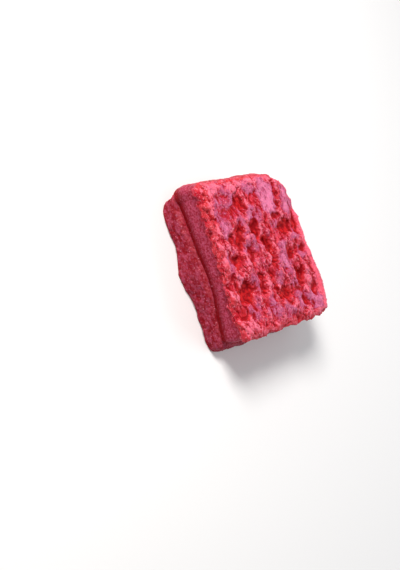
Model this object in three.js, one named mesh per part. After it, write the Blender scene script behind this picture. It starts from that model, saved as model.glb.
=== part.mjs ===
// A slab of crusted sugar candy from the corner of a tray, lying on its smooth underside.
// Two sides are the tray's, rounded. The other two were scored with a knife from above and
// snapped: a plain cut band under the crust, the groove where the blade stopped, and a rough
// foot that stands out below it. Millimetres, +Z up, X along the slab, origin under its middle.
import * as THREE from 'three';
import { ImprovedNoise } from 'three/addons/math/ImprovedNoise.js';
import { mergeGeometries, mergeVertices } from 'three/addons/utils/BufferGeometryUtils.js';

// The block between the knife's cuts and the tray's walls.
const LENGTH = 73.5;
const WIDTH = 68;
const THICKNESS = 26.5;

// Heights on a snapped side: the groove where the blade stopped, and the crust's lower edge.
const GROOVE_HEIGHT = 8.8;
const CRUST_HEIGHT = 20.2;

// The groove's depth, how far up the cut band leans in to it, and the ledge that closes it below.
const GROOVE_DEPTH = 2.4;
const LEAN_HEIGHT = 6.5;
const LEDGE_HEIGHT = 1.6;

// The blade drifted up and down along the front side: by how much, and where it crossed level.
const GROOVE_DRIFT = 1.6;
const GROOVE_LEVEL_X = -12;

// Corner radii seen from above: the tray's, the far snapped one and the two front ones.
const TRAY_CORNER = 18;
const BACK_CORNER = 6;
const FRONT_CORNER = 3;

// Edge radii: round the crust on the tray's sides and on the snapped ones, and underneath.
const TRAY_EDGE = 2.2;
const CUT_EDGE = 1.2;
const UNDER_EDGE = 1.3;

// The grid that the surface is drawn on: columns along X and Y, and rows from the underside up.
const COLUMNS_X = 44;
const COLUMNS_Y = 41;
const ROWS = [
  0, 1.1, 2.5, 3.9, 5.2, 6.3,
  GROOVE_HEIGHT - LEDGE_HEIGHT, GROOVE_HEIGHT - LEDGE_HEIGHT / 2, GROOVE_HEIGHT,
  GROOVE_HEIGHT + 1.2, GROOVE_HEIGHT + 2.8, GROOVE_HEIGHT + 4.7, GROOVE_HEIGHT + LEAN_HEIGHT,
  18.6, CRUST_HEIGHT, 22, 24, THICKNESS,
];

// Hollows in the crust: depth, middle x and y, half length, half width, turn in degrees.
const HOLLOWS = [
  [3.2, -11, 19.3, 4.2, 4.4, 0],
  [2, -15.5, 13.5, 3.2, 2.6, 0],
  [3, 14.5, 20.3, 6, 3.4, 5],
  [1.6, -25.6, 19, 5.6, 1.7, -3],
  [3.4, 22, 6, 4, 6.2, 0],
  [3.3, -2, 2.4, 8, 3.2, 12],
  [3.1, -12, -4.5, 4.8, 3.4, 20],
  [2.8, 15.5, -1.8, 5.6, 2.8, 0],
  [2.5, 10.5, -8.6, 3.2, 2.6, 0],
  [2.2, 16.5, -11, 3.8, 2.2, 0],
  [1.8, -27, -9.5, 7, 3.2, 0],
  [2.2, -0.5, -12.5, 5.2, 2.8, 0],
  [2.5, -10, -17, 6.6, 2.8, -25],
  [2.5, -9.5, -23.5, 2.8, 2.8, 0],
  [3.2, 2, -24.7, 4.9, 3.2, 0],
  [3.5, 16.5, -24, 6.4, 5, 10],
  [2, -12, 29, 4.8, 2.6, 0],
  [2.3, 24.5, 28, 3.4, 3.2, 0],
  [2.1, 28.2, 19.3, 2.6, 3.6, -30],
  [2, 34, 8, 2.6, 3.4, 0],
  [2.6, 10, -33, 3, 4, 0],
  [2.6, 25, -32, 5.4, 4, 0],
  [1.6, 3.5, 29, 4, 2.2, 0],
  [1.8, 2, 17, 3.6, 2.2, 0],
];

// The crags' tops rise this far over the crust's own level, and smooth places this far.
const CRAG_TOPS = 1;
const SMOOTH_RISE = 0.3;

// Smooth, level places in the crust: middle x and y, half length, half width.
const FLATS = [
  [-27, 10.5, 9, 7],
  [9, 12, 9, 4],
  [-24, -26, 9, 3.5],
];

// How far a snapped side stands out just below the groove, at the bottom and at the crust, and
// where its foot bulges further on the front and on the end: distance along the side, reach
// outwards, half length.
const LEDGE_REACH = 0.7;
const FOOT_REACH = 2.4;
const RIM_REACH = 0.5;
const FRONT_BULGES = [[-27, 2, 8], [0, 4.6, 8.5]];
const END_BULGES = [[-14, 1, 10], [18, 1.4, 12]];

// How far the tray sides swell at half height and flare out at the top, as a tray's walls do,
// and where the long one bows out or falls back.
const END_SWELL = 4;
const BACK_SWELL = 1.2;
const BACK_BULGES = [[22, 3, 11], [-24, -2.4, 9]];
const TRAY_FLARE = 1.6;

// Kinds of unevenness: how far the lumps rise and fall, their size, and which slice of the noise
// they come from. Crags on the crust, crumbs on its cut edge, the torn foot, pebbles on the tray
// sides, the blade's wandering, and the bending of the hollows' outlines.
const CRAGS = { reach: 1.3, size: 8, slice: 0.46 };
const CRUMBS = { reach: 1.1, size: 5, slice: 0.52 };
const TORN = { reach: 1.1, size: 6, slice: 1.07 };
const PEBBLES = { reach: 0.7, size: 7, slice: 0.3 };
const WANDER = { reach: 0.7, size: 22, slice: 0.24 };
const BEND_X = { reach: 1.9, size: 7, slice: 0.19 };
const BEND_Y = { reach: 1.9, size: 7, slice: 0.99 };

const noise = new ImprovedNoise();

// Lumps of one kind, with half-size lumps on them.
function lumps({ reach, size, slice }, x, y, z = 0) {
  const point = [x / size, y / size, z / size + slice];
  const coarse = noise.noise(...point);
  const fine = noise.noise(...point.map((value) => 2 * value + 0.3));
  return reach * (coarse + 0.6 * fine);
}

// 1 in the middle of an oval, falling off steeply to 0 at its edge.
function oval(x, y, middleX, middleY, halfLength, halfWidth, turn) {
  const angle = THREE.MathUtils.degToRad(turn);
  const along = (x - middleX) * Math.cos(angle) + (y - middleY) * Math.sin(angle);
  const across = (y - middleY) * Math.cos(angle) - (x - middleX) * Math.sin(angle);
  return Math.exp(-(((along / halfLength) ** 2 + (across / halfWidth) ** 2) ** 1.6));
}

// Level of the crust above the underside at a place on the slab.
function crustLevel(x, y, edgeDistance, edgeRadius) {
  const bentX = x + lumps(BEND_X, x, y);
  const bentY = y + lumps(BEND_Y, x, y);
  const flat = Math.max(...FLATS.map((shape) => oval(bentX, bentY, ...shape, 0)));
  const hollow = Math.max(...HOLLOWS.map(([depth, ...shape]) => depth * oval(bentX, bentY, ...shape)));
  const craggy = (1 - 0.8 * flat) * lumps(CRAGS, x, y);
  const inward = Math.min(edgeDistance, edgeRadius);
  const rounding = edgeRadius - Math.sqrt(edgeRadius ** 2 - (edgeRadius - inward) ** 2);
  return THICKNESS - CRAG_TOPS + craggy + SMOOTH_RISE * flat - hollow - rounding;
}

// How far a side's bulges reach outwards at a distance along it.
function bulge(along, bulges) {
  const reaches = bulges.map(([at, reach, half]) => reach * Math.exp(-(((along - at) / half) ** 2)));
  return reaches.reduce((sum, reach) => sum + reach);
}

// How far a snapped side stands out from the cut at a height, at a distance along it.
function snappedSide(along, height, bulges) {
  if (height >= GROOVE_HEIGHT) {
    const crust = THREE.MathUtils.smoothstep(height, CRUST_HEIGHT - 0.5, CRUST_HEIGHT + 2);
    const lean = Math.max(0, 1 - (height - GROOVE_HEIGHT) / LEAN_HEIGHT) ** 2;
    return crust * (RIM_REACH + lumps(CRUMBS, along, height)) - GROOVE_DEPTH * lean;
  }
  const foot = FOOT_REACH + bulge(along, bulges) + lumps(TORN, along, 1.5 * height);
  const outward = THREE.MathUtils.lerp(foot, LEDGE_REACH, height / GROOVE_HEIGHT);
  const ledge = Math.min(1, (GROOVE_HEIGHT - height) / LEDGE_HEIGHT);
  return THREE.MathUtils.lerp(-GROOVE_DEPTH, outward, ledge);
}

// How far a tray side stands out at a height: it swells, flares and is pebbly.
function traySide(x, y, height, swell) {
  const share = height / THICKNESS;
  return swell * Math.sin(Math.PI * share) + TRAY_FLARE * share + lumps(PEBBLES, x, y, height);
}

// The block's corner radius on the quarter that a point lies in.
function cornerRadius(x, y) {
  if (y < 0) return FRONT_CORNER;
  return x < 0 ? TRAY_CORNER : BACK_CORNER;
}

// A point of the rectangular block moved to the rounded one: its place, the direction that
// points out of the nearest side, and its distance from that side.
function roundedPlace(x, y) {
  const radius = cornerRadius(x, y);
  const straightX = LENGTH / 2 - radius;
  const straightY = WIDTH / 2 - radius;
  const overX = Math.max(0, Math.abs(x) - straightX);
  const overY = Math.max(0, Math.abs(y) - straightY);
  const reach = Math.max(overX, overY);
  const place = new THREE.Vector2(x, y);
  const out = new THREE.Vector2(0, 0);
  if (reach > 0) {
    out.set(Math.sign(x) * overX, Math.sign(y) * overY).normalize();
    if (overX > 0 && overY > 0) {
      place.set(Math.sign(x) * straightX, Math.sign(y) * straightY).addScaledVector(out, reach);
    }
  }
  const edgeDistance = Math.min(LENGTH / 2 - Math.abs(x), WIDTH / 2 - Math.abs(y));
  return { place, out, edgeDistance };
}

// How far the surface stands out from the block's side at a height.
function sideReach(x, y, out, height) {
  const endReach = out.x > 0 ? snappedSide(y, height, END_BULGES) : traySide(x, y, height, END_SWELL);
  const back = traySide(x, y, height, BACK_SWELL) + bulge(x, BACK_BULGES);
  const longReach = out.y < 0 ? snappedSide(x, height, FRONT_BULGES) : back;
  const under = Math.max(0, UNDER_EDGE - height);
  const tuck = UNDER_EDGE - Math.sqrt(UNDER_EDGE ** 2 - under ** 2);
  return out.x ** 2 * endReach + out.y ** 2 * longReach - tuck;
}

// A grid row's height on a snapped side: the groove drifts, and the crust ends at its own level.
function snappedHeight(x, y, height, level) {
  if (height > CRUST_HEIGHT) {
    const share = (height - CRUST_HEIGHT) / (THICKNESS - CRUST_HEIGHT);
    return THREE.MathUtils.lerp(CRUST_HEIGHT, level, share);
  }
  const above = (CRUST_HEIGHT - height) / (CRUST_HEIGHT - GROOVE_HEIGHT);
  const nearGroove = Math.min(height / GROOVE_HEIGHT, above);
  const drift = GROOVE_DRIFT * Math.sin((2 * Math.PI * (x - GROOVE_LEVEL_X)) / LENGTH);
  return height + nearGroove * (drift + lumps(WANDER, x, y));
}

// The candy's surface at a point of the plain block.
function surface(x, y, height) {
  const { place, out, edgeDistance } = roundedPlace(x, y);
  const tray = Math.max(0, -out.x) ** 2 + Math.max(0, out.y) ** 2;
  const level = crustLevel(place.x, place.y, edgeDistance, THREE.MathUtils.lerp(CUT_EDGE, TRAY_EDGE, tray));
  const snapped = snappedHeight(place.x, place.y, height, level);
  const z = THREE.MathUtils.lerp(snapped, (height * level) / THICKNESS, tray);
  const nearness = Math.max(0, 1 - edgeDistance / cornerRadius(x, y)) ** 2;
  place.addScaledVector(out, nearness * sideReach(place.x, place.y, out, height));
  return new THREE.Vector3(place.x, place.y, z);
}

// Top and sides: a box's grid moved onto the candy's surface, without the box's underside.
function crustAndSides() {
  const rows = ROWS.length - 1;
  const box = new THREE.BoxGeometry(LENGTH, WIDTH, THICKNESS, COLUMNS_X, COLUMNS_Y, rows);
  const underside = box.groups.at(-1);
  const shell = new THREE.BufferGeometry();
  const points = box.getAttribute('position').clone();
  for (let i = 0; i < points.count; i += 1) {
    const row = Math.round((points.getZ(i) / THICKNESS + 0.5) * rows);
    const point = surface(points.getX(i), points.getY(i), ROWS[row]);
    points.setXYZ(i, point.x, point.y, point.z);
  }
  shell.setAttribute('position', points);
  shell.setIndex(Array.from(box.index.array.slice(0, underside.start)));
  return mergeVertices(shell);
}

// The flat underside: a disc whose rim is moved to the lowest row of the sides.
function flatUnderside(shell) {
  const points = shell.getAttribute('position');
  const rim = [];
  for (let i = 0; i < points.count; i += 1) {
    if (points.getZ(i) === 0) rim.push(new THREE.Vector2(points.getX(i), points.getY(i)));
  }
  rim.sort((a, b) => a.angle() - b.angle());
  const disc = new THREE.CircleGeometry(1, rim.length);
  const places = disc.getAttribute('position');
  for (let i = 1; i < places.count; i += 1) {
    const { x, y } = rim[(i - 1) % rim.length];
    places.setXY(i, x, y);
  }
  disc.deleteAttribute('normal');
  disc.deleteAttribute('uv');
  disc.index.array.reverse();
  return disc;
}

const shell = crustAndSides();
const solid = mergeVertices(mergeGeometries([shell, flatUnderside(shell)]));
solid.computeBoundingBox();
const middle = solid.boundingBox.getCenter(new THREE.Vector3());
solid.translate(-middle.x, -middle.y, 0);
solid.computeVertexNormals();

const sugar = new THREE.MeshStandardMaterial({ color: 0xc4485c, roughness: 0.6, metalness: 0 });
const slab = new THREE.Mesh(solid, sugar);
slab.name = 'candy_slab';

const group = new THREE.Group();
group.add(slab);
export default group;
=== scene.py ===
import math

import bmesh
import bpy
import numpy as np
from mathutils import Matrix, Vector, noise


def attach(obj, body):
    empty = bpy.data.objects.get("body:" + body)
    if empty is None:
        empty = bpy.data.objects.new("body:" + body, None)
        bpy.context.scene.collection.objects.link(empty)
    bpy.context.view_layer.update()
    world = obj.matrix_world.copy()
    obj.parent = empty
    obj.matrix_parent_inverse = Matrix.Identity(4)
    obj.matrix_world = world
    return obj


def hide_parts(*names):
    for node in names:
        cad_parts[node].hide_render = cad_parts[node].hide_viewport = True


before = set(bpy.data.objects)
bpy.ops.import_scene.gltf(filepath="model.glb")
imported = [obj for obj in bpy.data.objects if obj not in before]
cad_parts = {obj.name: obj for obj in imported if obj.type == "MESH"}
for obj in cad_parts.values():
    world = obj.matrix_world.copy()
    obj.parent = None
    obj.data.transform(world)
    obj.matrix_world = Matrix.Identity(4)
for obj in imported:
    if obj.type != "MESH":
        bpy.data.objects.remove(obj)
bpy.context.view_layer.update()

MM = 0.001

# The camera. The slab stood on one end, leaning, when it was seen, so the camera that looks down
# on the lying slab is rolled on its side to see the crust and the snapped front as they were.
AZIMUTH = math.radians(1.6)
ELEVATION = math.radians(42.0)
ROLL = math.radians(71.5)
DISTANCE = 480 * MM
AIM = Vector((6.1, -11.4, -13.8)) * MM
FOCAL_PIXELS = 945.0
LONG_SIDE_PIXELS = 570.0

back = Vector((
    math.sin(AZIMUTH) * math.cos(ELEVATION),
    -math.cos(AZIMUTH) * math.cos(ELEVATION),
    math.sin(ELEVATION),
))
level = Vector((math.cos(AZIMUTH), math.sin(AZIMUTH), 0.0))
right = Matrix.Rotation(ROLL, 3, back) @ level
upwards = back.cross(right)
camera = bpy.data.objects.new("camera", bpy.data.cameras.new("camera"))
camera.data.lens = camera.data.sensor_width * FOCAL_PIXELS / LONG_SIDE_PIXELS
turned = Matrix((right, upwards, back)).transposed().to_4x4()
camera.matrix_world = Matrix.Translation(AIM + back * DISTANCE) @ turned
bpy.context.scene.collection.objects.link(camera)
bpy.context.scene.camera = camera

# The slab. Cooked sugar that set in a tray: smooth underneath, dense in the middle, and on top
# a crust that boiled, burst and dried into clumps of crumbs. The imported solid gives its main
# shape: its triangles are welded, cut finer and eased, and the clumps are raised on them.
FINER_CUTS = 3
EASING_ROUNDS = 3
EASING = 0.5
WELD = 0.01 * MM
NOISE_SEED = 1

# Where the knife came down at the front and at the end, the crust's lower edge on those sides,
# the height of its crests, and the groove that drifts up and down along the slab.
FRONT_CUT = -33.7 * MM
END_CUT = 37.6 * MM
CRUST_HEIGHT = 20.2 * MM
CRUST_LEVEL = 25.3 * MM
GROOVE_HEIGHT = 8.8 * MM
GROOVE_DRIFT = 1.6 * MM
GROOVE_SHIFT = 11 * MM
SLAB_LENGTH = 73.5 * MM

# The ranges over which one region turns into another, from a share of 0 to a share of 1. REACH
# is how far a place lies past the knife cuts, and the others say what they are measured on.
SNAPPED_REACH = (-4.0 * MM, -2.6 * MM)
RIM_REACH = (-4.0 * MM, -1.5 * MM)
INNER_REACH = (-2.0 * MM, -4.0 * MM)
LEVEL_NORMAL = (0.75, 0.9)
LEVEL_HEIGHT = (20 * MM, 22 * MM)
TOP_NORMAL = (0.35, 0.7)
TOP_HEIGHT = (17 * MM, 20 * MM)
FROSTED_NORMAL = (0.2, 0.6)
CRUST_ABOVE_EDGE = (-0.8 * MM, 1.2 * MM)
SHADE_ABOVE_EDGE = (-2.4 * MM, -0.8 * MM)
FOOT_ABOVE_GROOVE = (0.5 * MM, -0.3 * MM)
LIP_ABOVE_GROOVE = (-2.5 * MM, -0.5 * MM)
SHADE_ABOVE_GROOVE = (6.5 * MM, 1.0 * MM)
UNDER_HEIGHT = (1.2 * MM, 0.3 * MM)
STANDING_HEIGHT = (0.0, 2.0 * MM)
HOLLOW_DEPTH = (-0.3 * MM, -2.6 * MM)
BRIM_Y = (28 * MM, 32.5 * MM)
BRIM_X = (-37 * MM, -40 * MM)

# The relief. The crags are drawn out at a slant across the crust; the clumps and the crumbs lie
# on them. A noise has a fall-off and a step from each octave to the next, and a number of octaves.
SLANT = 0.35
CRAG_SIZES = (8 * MM, 4.5 * MM, 5 * MM)
CRAG_NOISE = (0.8, 2.0, 3)
CLUMP_SIZE = 2.2 * MM
CLUMP_REACH = 0.85
CLUMP_STRETCH = 1.6
CLUMP_BEND_SIZE = 2 * MM
CLUMP_BEND = 1 * MM
CRUMB_SIZE = 1.0 * MM
CRUMB_NOISE = (0.5, 2.0, 2)
CRUST_EDGE_SIZE = 5 * MM
CRUST_EDGE_NOISE = (0.6, 2.0, 3)
CRUST_EDGE_WANDER = 2.2 * MM
CRUST_EDGE_SHADE = 0.4

# How high they stand on each region, in millimetres. The crust is carved more than raised: it is
# sunk and its crests are held down, in millimetres too, and its brim, its frost and its hollows
# lose a share of the relief.
CRAGS_ON = {"crust": 1.2, "foot": 0.35, "tray": 0.2}
CLUMPS_ON = {"crust": 0.8, "foot": 0.45, "tray": 0.1}
CRUMBS_ON = {"crust": 0.3, "foot": 0.2, "tray": 0.08, "cut": 0.08}
CRUST_SUNK = 0.35
CRUST_CREST = 0.6
BRIM_SMOOTHED = 0.75
FROST_SMOOTHED = 0.8
FROST_CRUMBS_SMOOTHED = 0.6
HOLLOW_SMOOTHED = 0.4

# The swell of the rim and the fill of the groove, in millimetres, the fill's width and its place
# above the groove, and how far the top sways sideways where it lies well inside the slab's edges.
RIM_SWELL = 0.4
GROOVE_FILL = 0.7
GROOVE_FILL_WIDTH = 1.2 * MM
GROOVE_FILL_LIFT = 0.5 * MM
SWAY = 1.0 * MM
SWAY_SIZE = 4 * MM
SWAY_MARGIN = 4 * MM
SWAY_BOX = ((-40 * MM, 37 * MM), (-34 * MM, 33 * MM))

# Frosted places on the crust, where its colour also holds a painted sheen, in millimetres, as their
# bend is: middle x and y, half length, half width, and how thickly they are frosted.
FROST_BEND = 2.5
FROST_BEND_SIZE = 5 * MM
FROST_FADE = (0.2, 1.9)
FROSTED_PLACES = (
    (-26, 12, 9.5, 6.5, 1.0), (-22, 26, 7, 4, 0.8), (-6, 25.5, 3.5, 3, 0.6), (6, 12.5, 9, 4.5, 0.7),
    (16, 14, 5, 4, 0.5), (5, 26, 4, 2.5, 0.6), (30, 26, 6, 4.5, 0.8), (31, 2.5, 6, 4, 0.6),
    (-19, -2, 5, 5, 0.6), (-32, -1, 4, 5, 0.6), (-7, -8, 7, 4, 0.5), (-5, -13, 7, 3.5, 0.5),
    (-28, -19, 9, 6, 0.5), (-20, -26, 10, 4, 0.6), (3, -31, 7, 3, 0.5), (12, -16, 4.5, 3, 0.5),
    (27, 16, 6, 5, 0.5), (28, -9, 5, 5, 0.5), (-11, 13, 5, 4, 0.4), (26, -22, 6, 5, 0.4),
    (14, 3, 5, 3, 0.4), (-16, -13, 5, 3, 0.4),
)

slab_mesh = bmesh.new()
slab_mesh.from_mesh(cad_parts["candy_slab"].data)
bmesh.ops.remove_doubles(slab_mesh, verts=slab_mesh.verts, dist=WELD)
flat_faces = [f for f in slab_mesh.faces if max(v.co.z for v in f.verts) < WELD]
bmesh.ops.dissolve_faces(slab_mesh, faces=flat_faces)
bmesh.ops.subdivide_edges(slab_mesh, edges=slab_mesh.edges, cuts=FINER_CUTS, use_grid_fill=True)
raised = [v for v in slab_mesh.verts if v.co.z > WELD]
for _ in range(EASING_ROUNDS):
    bmesh.ops.smooth_vert(
        slab_mesh, verts=raised, factor=EASING, use_axis_x=True, use_axis_y=True, use_axis_z=True
    )
slab_mesh.normal_update()


def between(value, low, high):
    """0 at low, 1 at high, and a smooth step from one to the other."""
    share = min(1.0, max(0.0, (value - low) / (high - low)))
    return share * share * (3 - 2 * share)


def clump(place, size):
    """Round clumps about the given size across, 1 on their tops and 0 in the creases."""
    nearest = noise.voronoi(place / size)[0][0]
    return math.sqrt(max(0.0, 1.0 - (nearest / CLUMP_REACH) ** 2))


def frosted(place):
    """How thickly the crust is frosted at a place, 0 to 1, with wandering, soft edges."""
    bend = noise.noise_vector(place / FROST_BEND_SIZE) * FROST_BEND
    x, y = place.x / MM + bend.x, place.y / MM + bend.y
    return max(
        frosting * (1 - between(((x - px) / a) ** 2 + ((y - py) / b) ** 2, *FROST_FADE))
        for px, py, a, b, frosting in FROSTED_PLACES
    )


# What each point of the slab belongs to, kept for the material, and how far it is moved.
noise.seed_set(NOISE_SEED)
count = len(slab_mesh.verts)
names = (
    "crust", "cut", "foot", "tray", "under", "frost", "low", "cut_band_shade", "lip", "rim", "brim", "side"
)
masks = {name: np.zeros(count) for name in names}
lift = np.zeros(count)
drift = np.zeros((count, 3))
(west, east), (south, north) = SWAY_BOX
for i, vert in enumerate(slab_mesh.verts):
    place, normal = vert.co, vert.normal
    reach = max(FRONT_CUT - place.y, place.x - END_CUT)
    groove = GROOVE_HEIGHT + GROOVE_DRIFT * math.sin(math.tau * (place.x + GROOVE_SHIFT) / SLAB_LENGTH)
    above_groove = place.z - groove
    wander = noise.fractal(place / CRUST_EDGE_SIZE, *CRUST_EDGE_NOISE)
    above_edge = place.z - (CRUST_HEIGHT + CRUST_EDGE_WANDER * wander)
    snapped = between(reach, *SNAPPED_REACH)
    snapped *= 1 - between(normal.z, *LEVEL_NORMAL) * between(place.z, *LEVEL_HEIGHT)
    on_top = between(normal.z, *TOP_NORMAL) * between(place.z, *TOP_HEIGHT)
    crust = max(on_top, between(above_edge, *CRUST_ABOVE_EDGE))
    foot = snapped * between(above_groove, *FOOT_ABOVE_GROOVE)
    cut = snapped * (1 - crust) * (1 - foot)
    tray = (1 - snapped) * (1 - crust)
    frost = frosted(place) * crust * between(normal.z, *FROSTED_NORMAL)
    low = between(place.z - CRUST_LEVEL, *HOLLOW_DEPTH) * on_top * between(reach, *INNER_REACH)
    # Painted shade on the cut band: darker just above the groove and just under the crust's edge.
    cut_band_shade = cut * max(
        between(above_groove, *SHADE_ABOVE_GROOVE),
        CRUST_EDGE_SHADE * between(above_edge, *SHADE_ABOVE_EDGE),
    )
    lip = foot * between(above_groove, *LIP_ABOVE_GROOVE)
    rim = crust * between(reach, *RIM_REACH)
    tray_edge = max(between(place.y, *BRIM_Y), between(place.x, *BRIM_X)) * (1 - snapped)
    under = between(place.z, *UNDER_HEIGHT)
    shares = (crust, cut, foot, tray, under, frost, low, cut_band_shade, lip, rim, crust * tray_edge, 1 - on_top)
    for name, share in zip(names, shares):
        masks[name][i] = share
    if place.z < WELD:
        continue

    along, across = place.x + SLANT * place.y, place.y - SLANT * place.x
    slanted = Vector(p / size for p, size in zip((along, across, place.z), CRAG_SIZES))
    crags = noise.fractal(slanted, *CRAG_NOISE)
    bend = noise.noise_vector(place / CLUMP_BEND_SIZE) * CLUMP_BEND
    clumps = clump(Vector((along / CLUMP_STRETCH, across, place.z)) + bend, CLUMP_SIZE) - 0.5
    crumbs = noise.fractal(place / CRUMB_SIZE, *CRUMB_NOISE)
    even = max(FROST_SMOOTHED * frost, HOLLOW_SMOOTHED * low)
    crusted = CRAGS_ON["crust"] * crags * (1 - FROST_SMOOTHED * frost)
    crusted += CLUMPS_ON["crust"] * clumps * (1 - even)
    crusted += CRUMBS_ON["crust"] * crumbs * (1 - FROST_CRUMBS_SMOOTHED * frost) - CRUST_SUNK
    inside = min(place.x - west, east - place.x, place.y - south, north - place.y)
    sway = noise.noise_vector(place / SWAY_SIZE) * SWAY * on_top * between(inside, 0.0, SWAY_MARGIN)
    drift[i] = (sway.x, sway.y, 0.0)
    filled = math.exp(-(((above_groove - GROOVE_FILL_LIFT) / GROOVE_FILL_WIDTH) ** 2))
    lift[i] = between(place.z, *STANDING_HEIGHT) * MM * (
        crust * min(CRUST_CREST, crusted) * (1 - BRIM_SMOOTHED * tray_edge)
        + RIM_SWELL * crust * (1 - on_top) * snapped
        + foot * (CRAGS_ON["foot"] * crags + CLUMPS_ON["foot"] * clumps + CRUMBS_ON["foot"] * crumbs)
        + tray * (CRAGS_ON["tray"] * crags + CLUMPS_ON["tray"] * clumps + CRUMBS_ON["tray"] * crumbs)
        + cut * CRUMBS_ON["cut"] * crumbs
        + snapped * GROOVE_FILL * filled
    )
for i, vert in enumerate(slab_mesh.verts):
    vert.co += vert.normal * lift[i] + Vector(drift[i])
bmesh.ops.triangulate(slab_mesh, faces=slab_mesh.faces)
slab_mesh.normal_update()

# How far each point lies below (towards 1) or above (towards 0) the surface close round it, told
# by easing a copy of the surface: a few rounds find the creases, and many find the wells.
EASED = (("crease", 12, 1.6), ("dip", 88, 0.6))
SIDE_DIP = 0.4
WALL_NORMAL = (0.8, 0.4)

slab_mesh.verts.index_update()
places = np.array([v.co for v in slab_mesh.verts])
normals = np.array([v.normal for v in slab_mesh.verts])
ends = np.array([(e.verts[0].index, e.verts[1].index) for e in slab_mesh.edges])
starts = np.concatenate((ends[:, 0], ends[:, 1]))
stops = np.concatenate((ends[:, 1], ends[:, 0]))
neighbours = np.bincount(starts, minlength=count)
eased = places.copy()
for name, rounds, strength in EASED:
    for _ in range(rounds):
        middle = np.stack([np.bincount(starts, eased[stops, k], count) for k in range(3)], axis=1)
        eased += EASING * (middle / neighbours[:, None] - eased)
    masks[name] = np.clip(0.5 + strength * ((eased - places) * normals).sum(axis=1) / MM, 0, 1)
masks["dip"] = np.maximum(masks["dip"], SIDE_DIP * masks["side"])
steep = np.clip((WALL_NORMAL[0] - normals[:, 2]) / (WALL_NORMAL[0] - WALL_NORMAL[1]), 0, 1)
masks["wall"] = steep * masks["crust"] * (1 - masks["side"]) * (1 - masks["brim"])
masks["uncut"] = 1 - masks["cut"]

slab_data = bpy.data.meshes.new("sugar_slab")
slab_mesh.to_mesh(slab_data)
slab_mesh.free()
for name, values in masks.items():
    carried = slab_data.attributes.new(name, "FLOAT", "POINT").data
    carried.foreach_set("value", values.astype(np.float32))
slab_data.shade_smooth()
slab = bpy.data.objects.new("sugar_slab", slab_data)
bpy.context.scene.collection.objects.link(slab)


def mask(tree, name):
    """The value that the mesh carries under a name."""
    node = tree.nodes.new("ShaderNodeAttribute")
    node.attribute_name = name
    return node.outputs["Fac"]


def blend(tree, share, first, second):
    """One colour turning into another as share goes from 0 to 1."""
    node = tree.nodes.new("ShaderNodeMix")
    node.data_type = "RGBA"
    tree.links.new(share, node.inputs["Factor"])
    for socket, colour in ((node.inputs["A"], first), (node.inputs["B"], second)):
        if isinstance(colour, tuple):
            socket.default_value = (*colour, 1.0)
        else:
            tree.links.new(colour, socket)
    return node.outputs["Result"]


def stretched(tree, value, low, high):
    """A value turned into 0 at low and 1 at high."""
    node = tree.nodes.new("ShaderNodeMapRange")
    node.interpolation_type = "SMOOTHSTEP"
    node.inputs["From Min"].default_value = low
    node.inputs["From Max"].default_value = high
    tree.links.new(value, node.inputs["Value"])
    return node.outputs["Result"]


def patches(tree, size, detail, stretch=(1.0, 1.0, 1.0)):
    """Smooth noise about 0.5, with patches about the given size across, drawn out by stretch."""
    place = tree.nodes.new("ShaderNodeTexCoord")
    drawn = tree.nodes.new("ShaderNodeMapping")
    drawn.inputs["Scale"].default_value = [1 / (size * along) for along in stretch]
    tree.links.new(place.outputs["Object"], drawn.inputs["Vector"])
    node = tree.nodes.new("ShaderNodeTexNoise")
    node.inputs["Scale"].default_value = 1.0
    node.inputs["Detail"].default_value = detail
    tree.links.new(drawn.outputs["Vector"], node.inputs["Vector"])
    return node.outputs["Fac"]


def combined(tree, operation, first, second):
    """Two values, or a value and a number, put together."""
    node = tree.nodes.new("ShaderNodeMath")
    node.operation = operation
    tree.links.new(first, node.inputs[0])
    if isinstance(second, float):
        node.inputs[1].default_value = second
    else:
        tree.links.new(second, node.inputs[1])
    return node.outputs["Value"]


def ragged(tree, value, size, depth):
    """A mask with its soft edges broken up by fine noise."""
    centred = combined(tree, "SUBTRACT", patches(tree, size, 3), 0.5)
    return combined(tree, "ADD", value, combined(tree, "MULTIPLY", centred, depth))


def mottled(tree, size, detail, low, high, stretch=(1.0, 1.0, 1.0)):
    """Patches that start where the noise is at low and are full where it is at high."""
    return stretched(tree, patches(tree, size, detail, stretch), low, high)


def torn(tree, name, size, depth, low, high):
    """A mask with torn edges, turned into 0 at low and 1 at high."""
    return stretched(tree, ragged(tree, mask(tree, name), size, depth), low, high)


def faded(tree, name, low, high):
    """A mask turned into 0 at low and 1 at high."""
    return stretched(tree, mask(tree, name), low, high)


CRUST_RED = (0.48, 0.014, 0.032)
CRUST_CORAL = (0.66, 0.050, 0.080)
CREST_PINK_AND_HIGHLIGHT = (0.82, 0.170, 0.260)
BRIM_GLOW_PINK = (0.94, 0.120, 0.190)
RIM_CORAL = (0.52, 0.034, 0.046)
MAUVE_FROST_AND_SHEEN = (0.44, 0.072, 0.165)
FROST_AND_SHEEN_PINK = (0.75, 0.200, 0.360)
HOLLOW_RED = (0.52, 0.014, 0.018)
PAINTED_SHADE_RED = (0.28, 0.004, 0.010)
CUT_MAUVE = (0.44, 0.058, 0.116)
CUT_SHADE = (0.29, 0.018, 0.040)
CUT_BAND_SHADE_RED = (0.21, 0.003, 0.006)
FOOT_RED = (0.24, 0.008, 0.018)
FOOT_PINK = (0.36, 0.048, 0.094)
LIP_HIGHLIGHT_PINK = (0.48, 0.060, 0.085)
TRAY_RED = (0.40, 0.022, 0.040)
TRAY_PINK = (0.52, 0.058, 0.095)
UNDER_RED = (0.30, 0.004, 0.010)
SPECK_AND_GLINT_PINK = (0.88, 0.260, 0.350)

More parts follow.
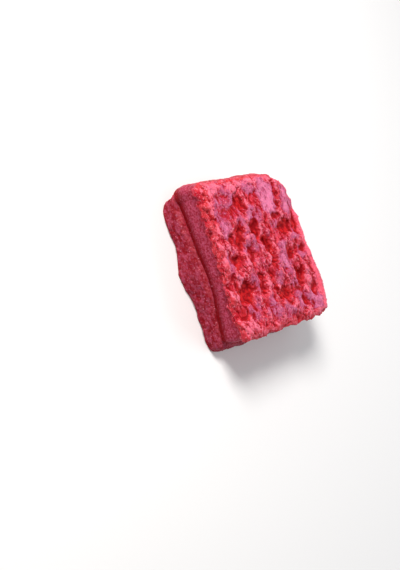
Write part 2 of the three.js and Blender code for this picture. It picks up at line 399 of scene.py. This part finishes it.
# Patches in the colours: their size and detail, and the noise at which they start and are full.
CRUST_PATCHES = (6.0 * MM, 4, 0.40, 0.62)
FOOT_STREAKS = (1.5 * MM, 5, 0.40, 0.64)
FOOT_STREAKS_DRAWN = (2.2, 1.0, 1.0)
TRAY_MOTTLES = (2.5 * MM, 5, 0.40, 0.66)
CUT_GRIT = (0.9 * MM, 5, 0.40, 0.62)
GAP_SHADOWS = (1.2 * MM, 2, 0.50, 0.34)
SPECKS = (0.8 * MM, 2, 0.56, 0.72)

# Masks with torn edges: the mask, the size and depth of the tears, and the values at which its
# colour starts and is full. The frost is torn twice, and is thin before it is thick.
CRESTS = ("dip", 1.0 * MM, 0.8, 0.38, 0.0)
RIM = ("rim", 3.0 * MM, 2.8, 0.6, 1.4)
BRIM = ("brim", 3.0 * MM, 2.4, 0.2, 1.2)
HOLLOWS = ("low", 2.0 * MM, 1.2, 0.1, 0.9)
LIP = ("lip", 2.5 * MM, 2.0, 0.5, 1.6)
FROST_FINE_TEARS = (1.0 * MM, 0.7)
FROST_WIDE_TEARS = (4.0 * MM, 1.8)
FROST_THIN = (0.0, 0.55)
FROST_THICK = (0.35, 1.2)
GROOVE_TEARS = (3.0 * MM, 0.5)

# Where other masks start and are full: frost and its painted sheen end at hollows and at the rim,
# wells are deep, and the painted gap shadows and the specks keep off what is closed or low.
FROST_OPEN = (0.80, 0.42)
FROST_INNER = ("rim", 0.9, 0.3)
WELLS = ("dip", 0.60, 0.85)
SHADED_CREASES = ("crease", 0.5, 0.85)
GAP_SHADOWS_CLOSED = (1.0, 0.2)
SPECKS_HIGH = ("dip", 0.65, 0.45)
SPECKS_CRUSTED = ("crust", -0.8, 1.0)

# The finish: how strongly walls, the painted shade in creases and gaps, and the specks with their
# painted glints show, how far each colour of light goes into the candy, and the fine bumps on it.
CREASE_SHADE_SHARE = 0.85
GAP_SHADOW_SHARE = 0.5
SPECK_SHARE = 0.68
WALL_SHARE = 0.8
GLOW_COLOURS = (1.0, 0.3, 0.3)
GLOW_DEPTH = 2.0 * MM
BUMP_SIZE = 1.6 * MM
BUMP_HEIGHT = 0.35 * MM
BUMP_STRENGTH = 0.9


def red_candy(name, roughness, gloss, glow, pale):
    """Red sugar candy: glow is the share of light that enters it, pale how far a tint turns it."""
    material = bpy.data.materials.new(name)
    material.use_nodes = True
    tree = material.node_tree
    shader = tree.nodes["Principled BSDF"]

    # The crust: red and coral; pink on its crests, partly pale dried sugar and partly a painted
    # highlight; coral at the cuts; and bright at the tray's edge, a painted glow of light through it.
    colour = blend(tree, mottled(tree, *CRUST_PATCHES), CRUST_RED, CRUST_CORAL)
    colour = blend(tree, torn(tree, *CRESTS), colour, CREST_PINK_AND_HIGHLIGHT)
    colour = blend(tree, torn(tree, *RIM), colour, RIM_CORAL)
    colour = blend(tree, torn(tree, *BRIM), colour, BRIM_GLOW_PINK)

    # Frost: dried sugar, and a painted sheen of cool light on the flats; mauve where it is thin and
    # pink where it is thick, fading in hollows and at the rim.
    frost = ragged(tree, ragged(tree, mask(tree, "frost"), *FROST_FINE_TEARS), *FROST_WIDE_TEARS)
    closed = combined(tree, "MAXIMUM", mask(tree, "dip"), mask(tree, "wall"))
    bare = combined(tree, "MULTIPLY", stretched(tree, closed, *FROST_OPEN), faded(tree, *FROST_INNER))
    frost = combined(tree, "MULTIPLY", frost, bare)
    colour = blend(tree, stretched(tree, frost, *FROST_THIN), colour, MAUVE_FROST_AND_SHEEN)
    colour = blend(tree, stretched(tree, frost, *FROST_THICK), colour, FROST_AND_SHEEN_PINK)

    # The bottoms and the walls of the hollows: clear, deep red candy.
    low = combined(tree, "MAXIMUM", torn(tree, *HOLLOWS), faded(tree, *WELLS))
    low = combined(tree, "MAXIMUM", low, combined(tree, "MULTIPLY", mask(tree, "wall"), WALL_SHARE))
    colour = blend(tree, low, colour, HOLLOW_RED)

    # The foot with a painted highlight along its lip, the tray's sides, and the cut band, with
    # painted shade above the groove and under the crust's edge.
    foot = blend(tree, mottled(tree, *FOOT_STREAKS, FOOT_STREAKS_DRAWN), FOOT_RED, FOOT_PINK)
    # A painted highlight on the foot's lip, just below the groove.
    foot = blend(tree, torn(tree, *LIP), foot, LIP_HIGHLIGHT_PINK)
    colour = blend(tree, mask(tree, "foot"), colour, foot)
    tray = blend(tree, mottled(tree, *TRAY_MOTTLES), TRAY_RED, TRAY_PINK)
    colour = blend(tree, mask(tree, "tray"), colour, tray)
    cut = blend(tree, mottled(tree, *CUT_GRIT), CUT_MAUVE, CUT_SHADE)
    cut = blend(tree, ragged(tree, mask(tree, "cut_band_shade"), *GROOVE_TEARS), cut, CUT_BAND_SHADE_RED)
    colour = blend(tree, mask(tree, "cut"), colour, cut)

    # Painted shade in the creases and in the gaps between the crumbs, and pale specks on the crust,
    # partly dry sugar and partly painted glints.
    crease_shade = combined(tree, "MULTIPLY", mask(tree, "uncut"), CREASE_SHADE_SHARE)
    crease_shade = combined(tree, "MULTIPLY", crease_shade, faded(tree, *SHADED_CREASES))
    colour = blend(tree, crease_shade, colour, PAINTED_SHADE_RED)
    filled = combined(tree, "MAXIMUM", combined(tree, "MAXIMUM", frost, low), mask(tree, "rim"))
    gap_shadows = combined(tree, "MULTIPLY", mottled(tree, *GAP_SHADOWS), GAP_SHADOW_SHARE)
    gap_shadows = combined(tree, "MULTIPLY", gap_shadows, stretched(tree, filled, *GAP_SHADOWS_CLOSED))
    colour = blend(tree, gap_shadows, colour, PAINTED_SHADE_RED)
    # The specks: pale dry sugar, and painted glints on the high places of the crust.
    specks_and_glints = combined(tree, "MULTIPLY", mottled(tree, *SPECKS), SPECK_SHARE)
    specks_and_glints = combined(tree, "MULTIPLY", specks_and_glints, faded(tree, *SPECKS_HIGH))
    specks_and_glints = combined(tree, "MULTIPLY", specks_and_glints, faded(tree, *SPECKS_CRUSTED))
    colour = blend(tree, specks_and_glints, colour, SPECK_AND_GLINT_PINK)
    colour = blend(tree, mask(tree, "under"), colour, UNDER_RED)
    if pale > 0:
        colour = blend(tree, combined(tree, "MULTIPLY", mask(tree, "tint"), pale), colour, SPECK_AND_GLINT_PINK)
    tree.links.new(colour, shader.inputs["Base Color"])

    shader.inputs["Roughness"].default_value = roughness
    shader.inputs["Specular IOR Level"].default_value = gloss
    shader.inputs["Subsurface Weight"].default_value = glow
    shader.inputs["Subsurface Radius"].default_value = GLOW_COLOURS
    shader.inputs["Subsurface Scale"].default_value = GLOW_DEPTH
    bump = tree.nodes.new("ShaderNodeBump")
    bump.inputs["Strength"].default_value = BUMP_STRENGTH
    bump.inputs["Distance"].default_value = BUMP_HEIGHT
    tree.links.new(patches(tree, BUMP_SIZE, 2), bump.inputs["Height"])
    tree.links.new(bump.outputs["Normal"], shader.inputs["Normal"])
    return material


slab_data.materials.append(red_candy("red_sugar_candy", roughness=0.45, gloss=0.05, glow=0.6, pale=0.0))
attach(slab, "root")
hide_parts("candy_slab")

# The grains. Sugar crystals that dried out mostly on the crust and on the snapped foot: little
# blocks, stretched and turned every way and half sunk in the candy that they grew on.
GRAIN_COUNT = 2000
GRAIN_SIZES = (0.2 * MM, 0.5 * MM)
GRAIN_STRETCH = (0.7, 1.3)
GRAIN_FLOOR = 1.0 * MM
GRAINS_ON = {"crust": 1.0, "foot": 0.4, "tray": 0.2, "cut": 0.1}
GRAINS_LOST_IN_HOLLOWS = 0.85
GRAINS_LOST_IN_FROST = 0.5
GRAINS_END_AT_DIP = 1.2
GRAIN_SEED = 7

draw = np.random.default_rng(GRAIN_SEED)
slab_data.calc_loop_triangles()
corners = np.array([t.vertices[:] for t in slab_data.loop_triangles])
crumbly = GRAINS_END_AT_DIP - masks["dip"]
crumbly *= (1 - GRAINS_LOST_IN_HOLLOWS * masks["low"]) * (1 - GRAINS_LOST_IN_FROST * masks["frost"])
weight = sum(share * masks[name] for name, share in GRAINS_ON.items() if name != "crust")
weight += GRAINS_ON["crust"] * masks["crust"] * crumbly
weight *= places[:, 2] > GRAIN_FLOOR
first, second, third = (places[corners[:, k]] for k in range(3))
areas = np.linalg.norm(np.cross(second - first, third - first), axis=1)
chances = areas * weight[corners].mean(axis=1)
hosts = draw.choice(len(corners), GRAIN_COUNT, p=chances / chances.sum())
shares = draw.dirichlet((1, 1, 1), GRAIN_COUNT)
grain_places = (places[corners[hosts]] * shares[:, :, None]).sum(axis=1)
grain_sizes = GRAIN_SIZES[0] + (GRAIN_SIZES[1] - GRAIN_SIZES[0]) * draw.random(GRAIN_COUNT) ** 2

grain_mesh = bmesh.new()
bmesh.ops.create_cube(grain_mesh, size=1.0)
bmesh.ops.triangulate(grain_mesh, faces=grain_mesh.faces)
grain_corners = np.array([v.co for v in grain_mesh.verts])
grain_faces = np.array([[v.index for v in f.verts] for f in grain_mesh.faces])
grain_mesh.free()
all_corners = np.empty((GRAIN_COUNT, len(grain_corners), 3))
for i in range(GRAIN_COUNT):
    angle = draw.random() * math.tau
    axis = Vector(draw.normal(size=3)).normalized()
    turn = np.array(Matrix.Rotation(angle, 3, axis))
    stretch = draw.uniform(*GRAIN_STRETCH, 3)
    all_corners[i] = grain_places[i] + (grain_corners * stretch * grain_sizes[i]) @ turn.T
all_faces = grain_faces[None] + len(grain_corners) * np.arange(GRAIN_COUNT)[:, None, None]
grain_data = bpy.data.meshes.new("sugar_grains")
grain_data.from_pydata(all_corners.reshape(-1, 3).tolist(), [], all_faces.reshape(-1, 3).tolist())
grain_masks = {name: values[corners[hosts, 0]] for name, values in masks.items()}
grain_masks["tint"] = draw.random(GRAIN_COUNT) ** 2
for name, values in grain_masks.items():
    carried = grain_data.attributes.new(name, "FLOAT", "POINT").data
    carried.foreach_set("value", np.repeat(values, len(grain_corners)).astype(np.float32))
grains = bpy.data.objects.new("sugar_grains", grain_data)
bpy.context.scene.collection.objects.link(grains)
grain_data.materials.append(red_candy("sugar_grains", roughness=0.2, gloss=0.2, glow=0.0, pale=0.6))
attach(grains, "root")
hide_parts("candy_slab")

# The stage: a plain pale floor under the slab, a soft, warm light from above the corner at -X and
# the front, and a broad, weaker, cooler one from above the corner across from it.
FLOOR_REACH = 3.0
FLOOR_GREY = (0.9, 0.9, 0.9, 1.0)
FLOOR_ROUGHNESS = 0.9
KEY_PLACE = (-0.42, -0.26, 0.48)
KEY_SIZE = 0.25
KEY_POWER = 5.3
KEY_COLOUR = (1.0, 0.97, 0.94)
FILL_PLACE = (0.3, 0.6, 0.5)
FILL_SIZE = 0.6
FILL_POWER = 2.1
FILL_COLOUR = (0.92, 0.94, 1.0)
ROOM_WHITE = (1.0, 1.0, 1.0, 1.0)
ROOM_POWER = 0.35

floor_mesh = bmesh.new()
bmesh.ops.create_grid(floor_mesh, x_segments=1, y_segments=1, size=FLOOR_REACH)
floor_data = bpy.data.meshes.new("floor")
floor_mesh.to_mesh(floor_data)
floor_mesh.free()
floor = bpy.data.objects.new("floor", floor_data)
bpy.context.scene.collection.objects.link(floor)
floor_material = bpy.data.materials.new("pale_floor")
floor_material.use_nodes = True
floor_shader = floor_material.node_tree.nodes["Principled BSDF"]
floor_shader.inputs["Base Color"].default_value = FLOOR_GREY
floor_shader.inputs["Roughness"].default_value = FLOOR_ROUGHNESS
floor_data.materials.append(floor_material)


def soft_light(name, place, size, power, colour):
    """A square lamp at a place, facing the slab."""
    lamp = bpy.data.lights.new(name, "AREA")
    lamp.size = size
    lamp.energy = power
    lamp.color = colour
    holder = bpy.data.objects.new(name, lamp)
    holder.location = place
    holder.rotation_euler = Vector(place).to_track_quat("Z", "Y").to_euler()
    bpy.context.scene.collection.objects.link(holder)


soft_light("key", KEY_PLACE, KEY_SIZE, KEY_POWER, KEY_COLOUR)
soft_light("fill", FILL_PLACE, FILL_SIZE, FILL_POWER, FILL_COLOUR)
world = bpy.data.worlds.new("room")
world.use_nodes = True
world.node_tree.nodes["Background"].inputs["Color"].default_value = ROOM_WHITE
world.node_tree.nodes["Background"].inputs["Strength"].default_value = ROOM_POWER
bpy.context.scene.world = world
bpy.context.scene.view_settings.view_transform = "Standard"
